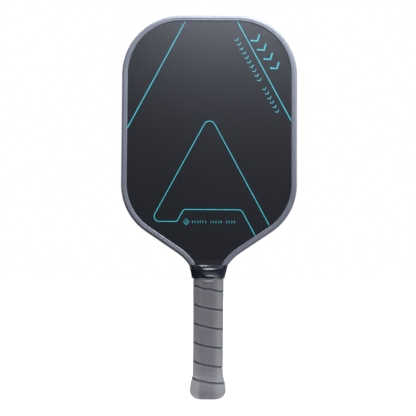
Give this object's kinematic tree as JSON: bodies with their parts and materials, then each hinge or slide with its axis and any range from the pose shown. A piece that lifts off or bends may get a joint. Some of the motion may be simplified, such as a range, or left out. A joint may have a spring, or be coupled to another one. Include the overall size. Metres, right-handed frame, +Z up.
{
  "type": "pickleball paddle",
  "caption": "Hybrid-shape pickleball paddle with carbon faces, honeycomb core, edge guard, rubber collar and wrapped octagonal handle.",
  "frame": {"origin": "middle of the flat butt end, with the paddle standing upright on it", "axes": "+Z up the handle towards the head's top edge, +X across the head's width, front hitting face towards -Y"},
  "size_m": [0.1914, 0.035, 0.417],
  "materials": {
    "carbon_face": "raw woven carbon fibre, satin",
    "core_polymer": "natural translucent polypropylene",
    "foam": "expanded foam",
    "guard_plastic": "satin moulded thermoplastic",
    "pallet_plastic": "satin moulded",
    "cap_plastic": "satin moulded",
    "staple_steel": "drawn wire",
    "grip": "cushioned tacky polymer strip, matte",
    "tape": "vinyl tape",
    "collar_rubber": "glossy moulded"
  },
  "bodies": {
    "root": {"front_face_sheet": "carbon_face", "back_face_sheet": "carbon_face", "honeycomb_core": "core_polymer", "perimeter_foam": "foam", "handle_core_foam": "foam", "edge_guard": "guard_plastic", "front_handle_pallet": "pallet_plastic", "back_handle_pallet": "pallet_plastic", "butt_cap": "cap_plastic", "butt_cap_staples": "staple_steel", "grip_wrap": "grip", "finishing_tape": "tape", "collar": "collar_rubber"}
  },
  "joints": []
}
